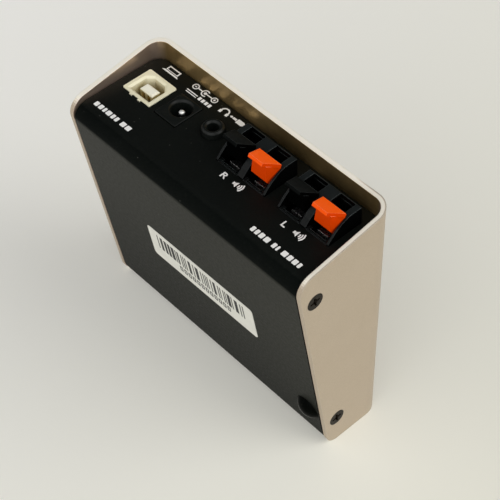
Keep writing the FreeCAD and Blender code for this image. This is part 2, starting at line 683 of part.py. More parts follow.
def make_dial_shell():
    dial = cone(Vector(0, DIAL_S, DIAL_BOTTOM), Vector(0, DIAL_S, DIAL_TOP), DIAL_R, DIAL_R - 0.5)
    dial = bevel_edges(dial, 0.8, circles(z=DIAL_TOP))
    dish_rim = cyl_z(0, DIAL_S, DIAL_R - 3.2, DIAL_BOTTOM + 5, DIAL_TOP + 3)
    dial = dial.cut(dial_dish().common(dish_rim))
    dial = dial.cut([cyl_z(0, DIAL_S, DIAL_R - 1.8, DIAL_BOTTOM - 1, DIAL_TOP - 2.6)])
    # collar that holds the hub
    dial = fuse([dial, cyl_z(0, DIAL_S, HUB_R + 1.6, DIAL_BOTTOM + 1.0, DIAL_TOP - 2.0)])
    dial = dial.cut(cyl_z(0, DIAL_S, HUB_R, DIAL_BOTTOM - 1, DIAL_TOP - 2.2))
    knurl_count, knurl_ring_r = 72, DIAL_R + 0.25
    knurl = []
    for k in range(knurl_count):
        angle = 2 * math.pi * k / knurl_count
        knurl.append(cyl_z(knurl_ring_r * math.cos(angle),
                           DIAL_S + knurl_ring_r * math.sin(angle),
                           0.55, DIAL_BOTTOM + 1.2, DIAL_TOP - 2.0))
    dial = dial.cut(knurl)
    groove = box(-0.55, 0.55, DIAL_R - 6.2, DIAL_R - 1.2, DIAL_TOP - 0.5, DIAL_TOP + 1)
    return dial.cut(turned(groove))


def make_dial_pointer():
    inlay = box(-0.52, 0.52, DIAL_R - 6.17, DIAL_R - 1.75, DIAL_TOP - 0.48, DIAL_TOP - 0.02)
    return turned(inlay).cut(dial_dish())


def make_dial_hub():
    hub = cyl_z(0, DIAL_S, HUB_R - 0.02, DIAL_BOTTOM + 0.6, DIAL_TOP - 2.25)
    bore = cyl_z(0, DIAL_S, SHAFT_R + 0.03, DIAL_BOTTOM - 1, SHAFT_TOP + 0.1)
    # the bore keeps a flat to match the shaft
    flat = turned(box(-4, 4, SHAFT_FLAT + 0.03, 5, DIAL_BOTTOM - 2, 46))
    return hub.cut(bore.cut(flat))


# ------------------------------------------------------------------ power light
def make_power_led():
    return fuse([block(0, LIGHT_S, 2.0, 1.2, SEAT, BOARD_T + 0.45),
                 block(0, LIGHT_S, 1.3, 1.2, BOARD_T + 0.4, BOARD_T + 0.95)])


def make_light_pipe():
    """Rod up to the top plate with a flange just under it."""
    top, under_cover = TOP_T - 0.05, TOP_T - COVER_THICK
    pipe = fuse([cyl_z(0, LIGHT_S, 1.05, BOARD_T + 1.3, top),
                 cyl_z(0, LIGHT_S, 2.2, under_cover - 1.1, under_cover - 0.05)])
    return round_edges(pipe, 0.35, circles(z=top))


# ------------------------------------------------------------------ chips and heatsink
CHIP_BOTTOM = BOARD_T + 0.12
# x, s, width, depth, height, leads per side, leads on all four sides
CHIPS = {
    "amp_chip": (-22.0, -30.0, 7.6, 11.0, 1.3, 16, False),
    "usb_chip": (33.0, -39.0, 7.0, 7.0, 1.2, 10, True),
    "dac_chip": (21.0, -40.0, 5.4, 9.0, 1.3, 12, False),
    "headphone_chip": (12.0, -24.0, 4.0, 5.0, 1.2, 4, False),
}
AMP_X, AMP_S = CHIPS["amp_chip"][:2]
AMP_TOP = CHIP_BOTTOM + CHIPS["amp_chip"][4]


def make_chip(name):
    x, s, width, depth, height = CHIPS[name][:5]
    body = block(x, s, width, depth, CHIP_BOTTOM, CHIP_BOTTOM + height)
    body = bevel_edges(body, 0.15, edges_at(z=CHIP_BOTTOM + height))
    # round mark in the rear left corner
    return body.cut(cyl_z(x - width / 2 + 0.9, s + depth / 2 - 0.9, 0.35,
                          BOARD_T + height, BOARD_T + 2 + height))


def lead_rows(prism, centre, width, row_centre, row_length, count, height):
    """Gull-wing leads out of two opposite sides; prism pulls each across its own width."""
    pitch = (row_length - 1.0) / (count - 1)
    half_lead = min(0.16, pitch * 0.3)
    root, foot = CHIP_BOTTOM + height / 2, SEAT + 0.07
    leads = []
    for i in range(count):
        place = row_centre - (row_length - 1.0) / 2 + i * pitch
        for side in SIDES:
            path = [(centre + side * (width / 2 + reach), level) for reach, level in
                    ((0.02, root), (0.35, root), (0.55, foot), (1.0, foot))]
            leads.append(prism(strip(path, 0.13), place - half_lead, place + half_lead))
    return leads


def make_chip_leads():
    leads = []
    for x, s, width, depth, height, count, four_sided in CHIPS.values():
        leads += lead_rows(prism_y, x, width, s, depth, count, height)
        if four_sided:
            leads += lead_rows(prism_x, s, depth, x, width, count, height)
    return Part.makeCompound(leads)


def make_thermal_pad():
    return block(AMP_X, AMP_S, 6.6, 10.0, AMP_TOP + 0.01, AMP_TOP + 0.5)


def make_heatsink():
    size, fin, fin_count = 20, 1.2, 8
    left = AMP_X - size / 2
    pieces = [block(AMP_X, AMP_S, size, size, AMP_TOP + 0.52, AMP_TOP + 2.5)]
    for k in range(fin_count):
        x = left + k * (size - fin) / (fin_count - 1)
        pieces.append(box(x, x + fin, AMP_S - size / 2, AMP_S + size / 2,
                          AMP_TOP + 2.4, AMP_TOP + 12.0))
    return fuse(pieces)


# ------------------------------------------------------------------ other board parts
BULK_CAPACITORS = ((24.2, -22.5), (36.0, -22.9))     # (x, s), as in the next two tables
SMALL_CAPACITORS = ((-28, -57.5), (-20, -57.5), (20, -57.5), (28, -57.5),
                    (-34, -49.5), (-26, -49.5))
FILM_CAPACITORS = ((-42.0, -27.0), (-37.5, -22.0), (-7.0, -26.0), (-2.4, -26.0))


def make_cans(places, radius, height):
    """Round capacitors with a groove near the base and a narrower foot."""
    cans = []
    top = BOARD_T + height
    for x, s in places:
        can = cyl_z(x, s, radius, BOARD_T + 0.9, top)
        can = round_edges(can, 0.5, circles(z=top))
        can = can.cut(Part.makeTorus(radius + 0.15, 0.45, Vector(x, s, BOARD_T + 2.4), Z_AXIS))
        cans.append(fuse([can, cyl_z(x, s, radius - 0.4, SEAT, BOARD_T + 1.0)]))
    return Part.makeCompound(cans)


def make_film_capacitors():
    return Part.makeCompound([
        round_edges(block(x, s, 2.8, 7.2, SEAT, BOARD_T + 6.5), 0.4, lines(Z_AXIS))
        for x, s in FILM_CAPACITORS])


def make_filter_inductors():
    """Square blocks with bevelled corners and a shallow round recess on top."""
    s, size = -14.6, 7.2
    coils = []
    for x in (-41.0, -30.5, -11.5, -1.0):
        coil = block(x, s, size, size, SEAT, BOARD_T + 4.6)
        coil = bevel_edges(coil, 0.9, lines(Z_AXIS))
        coils.append(coil.cut(cyl_z(x, s, 2.6, BOARD_T + 4.3, BOARD_T + 6)))
    return Part.makeCompound(coils)


def make_crystal():
    x, s = 33.0, -48.1
    can = block(x, s, 10.8, 4.2, BOARD_T + 0.3, BOARD_T + 3.6)
    can = round_edges(can, 2.0, lines(Z_AXIS))
    flange = block(x, s, 12.0, 5.4, SEAT, BOARD_T + 0.5)
    return fuse([can, round_edges(flange, 2.6, lines(Z_AXIS))])


def make_regulator():
    body = box(9.2, 15.8, -35.6, -29.6, BOARD_T + 0.1, BOARD_T + 2.4)
    tab = box(9.8, 15.2, -29.8, -28.4, SEAT, BOARD_T + 0.55)
    leads = [box(x - 0.35, x + 0.35, -38.0, -35.5, SEAT, BOARD_T + 0.5) for x in (10.2, 14.8)]
    return fuse([body, tab] + leads)


def make_circuit_board():
    """Drilled for every leg noted so far, so it is made after the parts with legs."""
    board = box(-BOARD_HALF, BOARD_HALF, *BOARD_S, BOARD_T - BOARD_THICK, BOARD_T)
    board = round_edges(board, 1.5, lines(Z_AXIS))
    low, high = BOARD_T - 4, BOARD_T + 2
    holes = [box(x - half_w, x + half_w, s - half_d, s + half_d, low, high)
             for x, s, half_w, half_d in board_holes]
    holes += [cyl_z(x, s, 1.6, low, high) for x, s in BOARD_SCREWS]
    return board.cut(holes)


# ------------------------------------------------------------------ build and write
case_parts = {
    "cover": make_cover(),
    "chassis": make_chassis(),
    "cover_screws": make_cover_screws(),
    "rating_label": make_rating_label(),
    "foot": make_foot(),
    "board_rails": Part.makeCompound([make_board_rail(side) for side in SIDES]),
    "insulator_sheet": make_insulator_sheet(),
}
deck_parts = {
    "board_screws": Part.makeCompound([make_board_screw(x, s) for x, s in BOARD_SCREWS]),
    "usb_housing": make_usb_housing(),
    "usb_contacts": make_usb_contacts(),
    "usb_board_locks": make_usb_board_locks(),
    "dc_jack_housing": make_dc_jack_housing(),
    "dc_jack_pin": make_dc_jack_pin(),
    "dc_jack_spring": make_dc_jack_spring(),
    "phones_jack_housing": make_phones_jack_housing(),
    "phones_jack_contacts": make_phones_jack_contacts(),
}
for place, right_x in TERM_X.items():
    deck_parts["terminal_housing_" + place] = make_terminal_housing(right_x)
    deck_parts["terminal_contacts_" + place] = make_terminal_contacts(right_x)
    for colour, inset in LEVERS.items():
        deck_parts["lever_" + colour + "_" + place] = make_lever(right_x - inset)
deck_parts.update({
    "volume_pot_base": make_volume_pot_base(),
    "volume_pot_case": make_volume_pot_case(),
    "volume_pot_legs": make_volume_pot_legs(),
    "volume_shaft": make_volume_shaft(),
    "dial_shell": make_dial_shell(),
    "dial_pointer": make_dial_pointer(),
    "dial_hub": make_dial_hub(),
    "power_led": make_power_led(),
    "light_pipe": make_light_pipe(),
})
for name in CHIPS:
    deck_parts[name] = make_chip(name)
deck_parts.update({
    "chip_leads": make_chip_leads(),
    "thermal_pad": make_thermal_pad(),
    "heatsink": make_heatsink(),
    "bulk_capacitors": make_cans(BULK_CAPACITORS, radius=5.0, height=13.0),
    "small_capacitors": make_cans(SMALL_CAPACITORS, radius=2.5, height=6.5),
    "film_capacitors": make_film_capacitors(),
    "filter_inductors": make_filter_inductors(),
    "crystal": make_crystal(),
    "regulator": make_regulator(),
    "circuit_board": make_circuit_board(),
})

# Centre the depth between lever tips and cover nose, and stand the foot on z = 0.
tip_y, nose_y = case_point(*LEVER_TIP)[0], case_point(FRONT_S, TOP_T)[0]
shift = Vector(0, -(tip_y + nose_y) / 2, FOOT_HEIGHT)
parts = dict(case_parts)
parts.update({name: from_deck(shape) for name, shape in deck_parts.items()})
os.makedirs("parts", exist_ok=True)
for name, shape in parts.items():
    shape.translate(shift)
    shape.exportStep("parts/" + name + ".step")
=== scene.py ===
"""A small desktop amplifier with a dial on its front and sockets on its rear panel.

Case frame (mm): x across, y towards the rear, z up. The panel frame leans with the rear panel:
x across, s out of the panel, t up the panel. Both are moved by the same shift into the row
frame (m), in which everything is built. The stage treats s as up, so that the unit stands on
its front rim with the rear panel on top.
"""
import math
import random

import bmesh
import bpy
from mathutils import Matrix, Vector


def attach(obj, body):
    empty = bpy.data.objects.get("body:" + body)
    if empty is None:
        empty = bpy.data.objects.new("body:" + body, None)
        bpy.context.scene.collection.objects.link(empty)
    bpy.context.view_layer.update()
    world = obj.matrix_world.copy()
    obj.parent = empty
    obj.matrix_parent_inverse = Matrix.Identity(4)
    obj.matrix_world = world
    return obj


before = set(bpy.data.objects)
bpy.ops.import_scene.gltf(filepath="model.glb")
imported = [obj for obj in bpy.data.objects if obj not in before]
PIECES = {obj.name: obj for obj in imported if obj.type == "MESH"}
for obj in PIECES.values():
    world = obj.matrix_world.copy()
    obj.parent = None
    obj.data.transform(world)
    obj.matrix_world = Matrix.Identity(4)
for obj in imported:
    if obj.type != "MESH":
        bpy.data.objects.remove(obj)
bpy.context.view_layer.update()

LEAN = math.radians(9.16)                          # lean of the rear panel
LEAN_COS, LEAN_SIN = math.cos(LEAN), math.sin(LEAN)
PANEL_Y = 42.0                                     # foot of the rear panel, mm
SHIFT_Y, SHIFT_Z = -1.465860641397093, 2.3         # case frame to row frame, mm
ACROSS = Vector((1, 0, 0))
PANEL_OUT = Vector((0, LEAN_COS, LEAN_SIN))
PANEL_UP = Vector((0, -LEAN_SIN, LEAN_COS))


def panel_point(x, s, t):
    """panel frame (mm) to the row frame (m)"""
    y = PANEL_Y + s * LEAN_COS - t * LEAN_SIN + SHIFT_Y
    return Vector((x, y, s * LEAN_SIN + t * LEAN_COS + SHIFT_Z)) / 1000.0


def case_point(x, y, z):
    """case frame (mm) to the row frame (m)"""
    return Vector((x, y + SHIFT_Y, z + SHIFT_Z)) / 1000.0


# ------------------------------------------------------------------ node helpers
SHADER_INPUTS = {
    "base": "Base Color", "rough": "Roughness", "metal": "Metallic",
    "spec": "Specular IOR Level", "spec_tint": "Specular Tint",
    "coat": "Coat Weight", "coat_rough": "Coat Roughness",
    "sss": "Subsurface Weight", "sss_radius": "Subsurface Radius",
    "sss_scale": "Subsurface Scale", "trans": "Transmission Weight", "ior": "IOR",
    "emit": "Emission Color", "emit_s": "Emission Strength",
}


class Nodes:
    """short ways to add nodes to a tree; a value may be a number, a colour or a socket"""

    def __init__(self, tree):
        self.tree = tree
        self.coords = self.node("ShaderNodeTexCoord")

    def feed(self, socket, value):
        if isinstance(value, bpy.types.NodeSocket):
            self.tree.links.new(value, socket)
        elif socket.type == "RGBA":
            socket.default_value = (*value, 1.0)
        else:
            socket.default_value = value

    def node(self, kind, **values):
        """values go to the inputs of that name, or else to the node's own settings"""
        node = self.tree.nodes.new(kind)
        for key, value in values.items():
            if key in node.inputs:
                self.feed(node.inputs[key], value)
            else:
                setattr(node, key, value)
        return node

    def maths(self, operation, *values, clamp=False):
        node = self.node("ShaderNodeMath", operation=operation, use_clamp=clamp)
        for socket, value in zip(node.inputs, values):
            self.feed(socket, value)
        return node.outputs[0]

    def plus(self, first, second):
        return self.maths("ADD", first, second)

    def minus(self, first, second):
        return self.maths("SUBTRACT", first, second)

    def times(self, first, second):
        return self.maths("MULTIPLY", first, second)

    def dot(self, first, second):
        node = self.node("ShaderNodeVectorMath", operation="DOT_PRODUCT")
        self.feed(node.inputs[0], first)
        self.feed(node.inputs[1], second)
        return node.outputs["Value"]

    def remap(self, value, span=(0.3, 0.7), to=(0, 1), curve="LINEAR"):
        """carries span onto to, held at both ends"""
        node = self.node("ShaderNodeMapRange", interpolation_type=curve)
        for socket, part in zip(node.inputs, (value, *span, *to)):
            self.feed(socket, part)
        return node.outputs[0]

    def mix(self, amount, first, second):
        node = self.node("ShaderNodeMix", data_type="RGBA")
        for index, value in zip((0, 6, 7), (amount, first, second)):
            self.feed(node.inputs[index], value)
        return node.outputs[2]


class Material(Nodes):
    """a principled material with its textures in object space (m)"""

    def __init__(self, name):
        self.data = bpy.data.materials.new(name)
        self.data.use_nodes = True
        self.data.node_tree.nodes.clear()
        super().__init__(self.data.node_tree)
        self.output = self.node("ShaderNodeOutputMaterial")
        self.shader = self.node("ShaderNodeBsdfPrincipled")
        self.feed(self.output.inputs[0], self.shader.outputs[0])

    def set(self, **values):
        for key, value in values.items():
            self.feed(self.shader.inputs[SHADER_INPUTS[key]], value)
        return self

    def base(self):
        """the socket that now feeds the base colour"""
        return self.shader.inputs["Base Color"].links[0].from_socket

    def mapped(self, **mapping):
        place = self.coords.outputs["Object"]
        return self.node("ShaderNodeMapping", Vector=place, **mapping).outputs[0]

    def noise(self, scale, detail=3.0, rough=0.55, stretch=(1, 1, 1), seed=0.0):
        place = self.mapped(Location=(seed, seed * 1.7, seed * 0.6), Scale=stretch)
        node = self.node("ShaderNodeTexNoise", Scale=scale, Detail=detail, Roughness=rough,
                         Vector=place)
        return node.outputs["Fac"]

    def cells(self, scale, seed):
        """cell distance, and a random value for each cell"""
        place = self.mapped(Location=(seed, seed, seed))
        node = self.node("ShaderNodeTexVoronoi", Scale=scale, Vector=place)
        split = self.node("ShaderNodeSeparateColor", Color=node.outputs["Color"])
        return node.outputs["Distance"], split.outputs[0]

    def split(self, vector):
        return self.node("ShaderNodeSeparateXYZ", Vector=vector).outputs

    def geometry(self, output):
        return self.node("ShaderNodeNewGeometry").outputs[output]

    def along(self, axis):
        """object position along an axis, from the foot of the rear panel"""
        return self.minus(self.dot(self.coords.outputs["Object"], axis),
                          panel_point(0, 0, 0).dot(axis))

    def rounded(self, radius):
        return self.node("ShaderNodeBevel", samples=4, Radius=radius).outputs[0]

    def edges(self, radius, span):
        """0 on flats, 1 on outside and inside edges"""
        same = self.dot(self.rounded(radius), self.geometry("Normal"))
        return self.remap(self.minus(1.0, same), span)

    def bump(self, heights, depth, strength, round_edge=None):
        """heights: list of (socket, weight)"""
        total = None
        for socket, weight in heights:
            part = self.times(socket, weight)
            total = part if total is None else self.plus(total, part)
        node = self.node("ShaderNodeBump", Strength=strength, Distance=depth, Height=total)
        if round_edge:
            self.feed(node.inputs["Normal"], self.rounded(round_edge))
        self.feed(self.shader.inputs["Normal"], node.outputs[0])
        return self

    def dust(self, base, amount, tint, scale):
        """sparse settled specks"""
        distance, pick = self.cells(scale, seed=3.1)
        spot = self.remap(distance, (0.05, 0.11), to=(1, 0))
        spots = self.times(spot, self.maths("GREATER_THAN", pick, 0.86))
        return self.mix(self.times(spots, amount), base, tint)


# ------------------------------------------------------------------ materials
# Paired colours are those at the low and high ends of a noise. Lengths are in metres.
CORNER = 0.006                          # corner radius of the cover
CORNER_X = 0.04908 - CORNER             # corner centre, from the cover's half width
CORNER_T = 0.03617 - CORNER             # corner centre, from the height of its top


def champagne_paint():
    mat = Material("champagne_paint").set(metal=0.30, spec=0.45)
    # outer skin: soft clouds, fine flake and edges lightened in patches
    base = mat.mix(mat.remap(mat.noise(35)), (0.470, 0.388, 0.290), (0.484, 0.401, 0.303))
    flake = mat.cells(6800, seed=1.3)[1]
    lift = mat.remap(flake, (0, 1), to=(0.94, 1.06))
    paint = mat.node("ShaderNodeHueSaturation", Color=base, Value=lift).outputs[0]
    edge = mat.edges(0.00045, (0.03, 0.35))
    patches = mat.remap(mat.noise(420, detail=4, seed=4), (0.35, 0.62), to=(0.35, 1.0))
    pale_edge_patches = mat.times(edge, patches)
    colour = mat.mix(mat.times(pale_edge_patches, 0.6), paint, (0.78, 0.74, 0.66))

    # distance from the corner centres: 0.006 on the outer skin, less on the inner faces
    x = mat.along(ACROSS)
    t = mat.along(PANEL_UP)
    half_x = mat.maths("ABSOLUTE", x)
    past_x = mat.maths("MAXIMUM", mat.minus(half_x, CORNER_X), 0.0)
    past_t = mat.maths("MAXIMUM", mat.minus(t, CORNER_T), 0.0)
    squares = mat.plus(mat.maths("POWER", past_x, 2.0), mat.maths("POWER", past_t, 2.0))
    straight = mat.maths("MAXIMUM", mat.minus(half_x, CORNER_X), mat.minus(t, CORNER_T))
    radius = mat.maths("MAXIMUM", mat.minus(mat.maths("SQRT", squares), 0.0), straight)

    # inner faces: painted shade and reflection, a streaky brown-yellow that is pinker near the
    # side walls
    inner = mat.remap(radius, (0.0047, 0.0045))
    reflection_streaks = mat.noise(150, detail=4, seed=7, stretch=(1, 0.35, 1))
    painted_inner_shade = mat.mix(mat.remap(reflection_streaks, (0.35, 0.65)), (0.470, 0.318, 0.132), (0.610, 0.425, 0.182))
    near_side = mat.remap(half_x, (0.0440, 0.0470), to=(0, 0.85))
    painted_inner_shade = mat.mix(near_side, painted_inner_shade, (0.64, 0.50, 0.42))
    colour = mat.mix(inner, colour, painted_inner_shade)

    # painted highlight on the rim facing the rear, wholly so away from the -x side; the rim also
    # gets a painted glow
    facing = mat.dot(mat.geometry("True Normal"), PANEL_OUT)
    rim = mat.remap(mat.maths("ABSOLUTE", facing), (0.60, 0.92))
    side = mat.remap(x, (-0.034, -0.042))
    within = mat.remap(radius, (0.00585, 0.00550))
    rim = mat.times(rim, mat.maths("MAXIMUM", within, mat.minus(1.0, side)))
    bright = mat.mix(mat.remap(mat.noise(700, detail=4, seed=9)),
                     (0.98, 0.91, 0.78), (1.0, 0.96, 0.84))
    colour = mat.mix(rim, colour, bright)
    # painted glow on the rim, stronger away from the -x side
    glow = mat.plus(0.04, mat.times(mat.minus(1.0, side), 0.10))
    colour_dusty = mat.dust(colour, amount=0.2, tint=(0.62, 0.60, 0.55), scale=700)
    haze = mat.remap(mat.noise(160, detail=4, seed=2), to=(0.46, 0.52))
    mat.set(emit=(1.0, 0.93, 0.80), emit_s=mat.times(rim, glow), base=colour_dusty,
            rough=mat.plus(haze, mat.times(inner, -0.16)),
            metal=mat.plus(0.30, mat.times(inner, 0.55)))
    return mat.bump([(mat.noise(2600, detail=2), 0.6), (mat.noise(9000, detail=2, seed=5), 0.4)],
                    depth=0.00004, strength=0.30, round_edge=0.00035)


def black_powder_coat():
    # the yellow-green tint of the reflections is a painted reflection tone
    mat = Material("black_powder_coat").set(spec=0.22, spec_tint=(0.96, 1.0, 0.84))
    base = mat.mix(mat.remap(mat.noise(60, detail=4, seed=1)),
                   (0.0030, 0.0040, 0.0037), (0.0042, 0.0052, 0.0047))
    # painted light and reflection: the flat underside is lighter and warmer than the rear panel,
    # more so towards the rear, and has more sheen; the bends get neither and stay dark
    normal = mat.geometry("Normal")
    under = mat.remap(mat.split(normal)[2], (-0.955, -0.995))
    flat = mat.remap(mat.maths("ABSOLUTE", mat.dot(normal, PANEL_OUT)), (0.90, 0.985))
    y = mat.split(mat.coords.outputs["Object"])[1]
    lit_towards_rear = mat.remap(y, (-0.040, 0.020), to=(0.45, 1.0))
    base = mat.mix(mat.times(under, lit_towards_rear), base, (0.0088, 0.0094, 0.0062))
    edge = mat.edges(0.0004, (0.04, 0.4))
    base = mat.mix(mat.times(edge, 0.18), base, (0.05, 0.05, 0.048))
    grain = mat.noise(1500, rough=0.7, seed=8)
    base = mat.mix(mat.remap(grain, (0.52, 0.80), to=(0, 0.30)), base, (0.016, 0.018, 0.016))
    sheen = mat.plus(mat.times(flat, 0.13), mat.times(mat.times(under, lit_towards_rear), 0.115))
    mat.set(base=mat.dust(base, amount=0.45, tint=(0.16, 0.16, 0.14), scale=560),
            rough=mat.remap(mat.noise(900, seed=3), to=(0.42, 0.50)),
            spec=mat.plus(0.015, sheen))
    return mat.bump([(mat.noise(3200), 0.7), (mat.noise(11000, detail=2, seed=2), 0.3)],
                    depth=0.00006, strength=0.40, round_edge=0.0003)


def plastic(name, low, high, rough, edge=None, edge_amount=0.5, edge_radius=0.00022, spec=0.5,
            sss=0.0, fine=5200, bump=0.25, scuff=None, hollow=None, away=None, glow=None):
    """edge: painted edge highlight colour; scuff: scuff colour; fine, bump: scale and strength
    of grain
    hollow: painted shade in recesses (colour, reach, own_only, span of openness)
    away: painted shade on faces turned from the rear (colour, span, dulling)
    glow: painted glow (colour, strength)"""
    mat = Material(name).set(spec=spec, sss=sss)
    if sss:
        mat.set(sss_radius=(1.0, 0.6, 0.35), sss_scale=0.0008)
    base = mat.mix(mat.remap(mat.noise(220, detail=4, seed=1)), low, high)
    if scuff:
        marks = mat.noise(1400, detail=5, rough=0.65, stretch=(1, 2.5, 0.6), seed=6)
        base = mat.mix(mat.remap(marks, (0.60, 0.74), to=(0, 0.7)), base, scuff)
    # painted highlight along the edges
    if edge:
        edges = mat.edges(edge_radius, (0.03, 0.32))
        base = mat.mix(mat.times(edges, edge_amount), base, edge)
    # painted shade in recesses, from ambient occlusion
    if hollow:
        openness = mat.node("ShaderNodeAmbientOcclusion", samples=8,
                            only_local=hollow["own_only"], Distance=hollow["reach"])
        in_shade = mat.remap(openness.outputs["AO"], hollow["span"], to=(1, 0))
        base = mat.mix(in_shade, base, hollow["colour"])
    # painted shade: faces turned from the rear get a darker colour and less specular
    if away:
        facing = mat.dot(mat.geometry("True Normal"), PANEL_OUT)
        turned = mat.remap(facing, away["span"], to=(1, 0))
        base = mat.mix(turned, base, away["colour"])
        lit = mat.minus(1.0, mat.times(turned, away["dulling"]))
        if hollow:
            lit = mat.times(lit, mat.minus(1.0, mat.times(in_shade, 0.85)))
        mat.set(spec=mat.times(lit, spec))
    if glow:
        # painted glow, seen by the camera only, so it throws no light on its neighbours
        seen = mat.node("ShaderNodeLightPath").outputs["Is Camera Ray"]
        amount = mat.times(seen, glow["strength"])
        if hollow:
            amount = mat.times(mat.minus(1.0, in_shade), amount)
        mat.set(emit=glow["colour"], emit_s=amount)
    mat.set(base=base, rough=mat.remap(mat.noise(600, detail=4, seed=2), to=rough))
    return mat.bump([(mat.noise(fine, detail=2), 1.0)], depth=0.00003, strength=bump,
                    round_edge=edge_radius)


def ivory_plastic():
    # the edge colour is a painted edge highlight and the hollow colour painted shade in the
    # recesses
    mat = plastic("ivory_plastic", (0.86, 0.81, 0.58), (0.91, 0.87, 0.65), rough=(0.30, 0.42),
                  edge=(0.93, 0.91, 0.80), edge_radius=0.0003,
                  hollow=dict(colour=(0.42, 0.325, 0.115), reach=0.0046, own_only=True,
                              span=(0.20, 0.62)))
    # the end of the centre tongue catches more light than the walls around it
    facing = mat.dot(mat.geometry("True Normal"), PANEL_OUT)
    place = mat.node("ShaderNodeTexCoord").outputs["Object"]
    span = [panel_point(0, s, 0).dot(PANEL_OUT) for s in (-0.2, -0.5)]
    inset = mat.remap(mat.dot(place, PANEL_OUT), span)
    tongue = mat.maths("MULTIPLY", inset, facing, clamp=True)
    return mat.set(base=mat.mix(tongue, mat.base(), (1.0, 0.98, 0.84)))


def metal(name, low, high, rough, stretch=(1, 1, 1), scale=3000):
    mat = Material(name).set(metal=1.0)
    grain = mat.noise(scale, rough=0.6, stretch=stretch, seed=2)
    haze = mat.noise(scale * 0.5, stretch=stretch, seed=5)
    mat.set(base=mat.mix(mat.remap(grain), low, high), rough=mat.remap(haze, to=rough))
    return mat.bump([(grain, 1.0)], depth=0.00002, strength=0.2, round_edge=0.00012)


def power_pin_tin():
    mat = metal("power_pin_tin", (0.93, 0.93, 0.91), (0.98, 0.98, 0.96), rough=(0.30, 0.42))
    # painted shade: the sides of the pin are dark; only the end facing the rear keeps the bright
    # tin
    bright = mat.remap(mat.dot(mat.geometry("Normal"), PANEL_OUT), (0.20, 0.55))
    return mat.set(metal=0.55, base=mat.mix(bright, (0.035, 0.036, 0.038), mat.base()))


def dial_turned():
    """fine lathe rings around the dial axis"""
    ring_scale = 2400
    mat = Material("dial_turned").set(metal=1.0)
    x, y, z = mat.split(mat.mapped(vector_type="TEXTURE", Location=panel_point(0, -41.5, 40),
                                   Rotation=(LEAN, 0, 0)))
    squares = mat.plus(mat.maths("POWER", x, 2.0), mat.maths("POWER", y, 2.0))
    radius = mat.maths("SQRT", squares)
    rings = mat.node("ShaderNodeCombineXYZ", X=mat.times(radius, ring_scale),
                     Z=mat.times(z, ring_scale * 0.6)).outputs[0]
    grain = mat.node("ShaderNodeTexNoise", Scale=3.0, Detail=4.0, Roughness=0.7,
                     Vector=rings).outputs["Fac"]
    base = mat.mix(mat.remap(grain), (0.58, 0.52, 0.43), (0.70, 0.64, 0.54))
    edge = mat.edges(0.0003, (0.03, 0.3))
    mat.set(base=mat.mix(mat.times(edge, 0.5), base, (0.93, 0.91, 0.87)),
            rough=mat.remap(grain, to=(0.36, 0.48)))
    return mat.bump([(grain, 1.0)], depth=0.00003, strength=0.5, round_edge=0.0002)


def label_paper():
    mat = Material("label_paper").set(spec=0.4)
    base = mat.mix(mat.remap(mat.noise(300, detail=5, seed=2)),
                   (0.70, 0.695, 0.635), (0.76, 0.755, 0.69))
    fibre = mat.noise(3500, detail=4, rough=0.7, stretch=(1, 0.3, 1), seed=3)
    base = mat.mix(mat.remap(fibre, (0.55, 0.8), to=(0, 0.25)), base, (0.62, 0.61, 0.56))
    edge = mat.edges(0.0004, (0.03, 0.3))
    mat.set(base=mat.mix(mat.times(edge, 0.3), base, (0.45, 0.44, 0.40)),
            rough=mat.remap(fibre, to=(0.42, 0.6)))
    return mat.bump([(fibre, 1.0)], depth=0.00002, strength=0.3)


def ink(name, low, high):
    mat = Material(name).set(spec=0.35)
    grain = mat.noise(5200, detail=4, rough=0.7, seed=4)
    mat.set(base=mat.mix(mat.remap(grain, (0.35, 0.75)), low, high),
            rough=mat.remap(grain, to=(0.45, 0.62)))
    return mat.bump([(grain, 1.0)], depth=0.00001, strength=0.3)


def solder_mask():
    mat = Material("solder_mask").set(spec=0.55, coat=0.4, coat_rough=0.18)
    tracks = mat.node("ShaderNodeTexBrick", Scale=260.0, offset=0.37,
                      Color1=(0.004, 0.055, 0.022), Color2=(0.006, 0.080, 0.032),
                      Mortar=(0.010, 0.130, 0.055), Vector=mat.coords.outputs["Object"],
                      **{"Mortar Size": 0.035}).outputs
    haze = mat.noise(900, detail=4, seed=2)
    mat.set(base=mat.mix(mat.remap(haze, (0.4, 0.7), to=(0, 0.4)), tracks["Color"],
                         (0.005, 0.05, 0.02)),
            rough=mat.remap(haze, to=(0.28, 0.42)))
    return mat.bump([(tracks["Fac"], -0.6), (haze, 0.2)], depth=0.00004, strength=0.5,
                    round_edge=0.0001)


def clear_plastic():
    mat = Material("clear_plastic").set(trans=1.0, ior=1.49, spec=0.5)
    haze = mat.noise(900, seed=2)
    mat.set(base=mat.mix(mat.remap(haze), (0.90, 0.95, 0.99), (0.97, 0.99, 1.0)),
            rough=mat.remap(haze, to=(0.03, 0.10)))
    return mat.bump([(haze, 1.0)], depth=0.00002, strength=0.1)


CHAMPAGNE = champagne_paint()
BLACK = black_powder_coat()
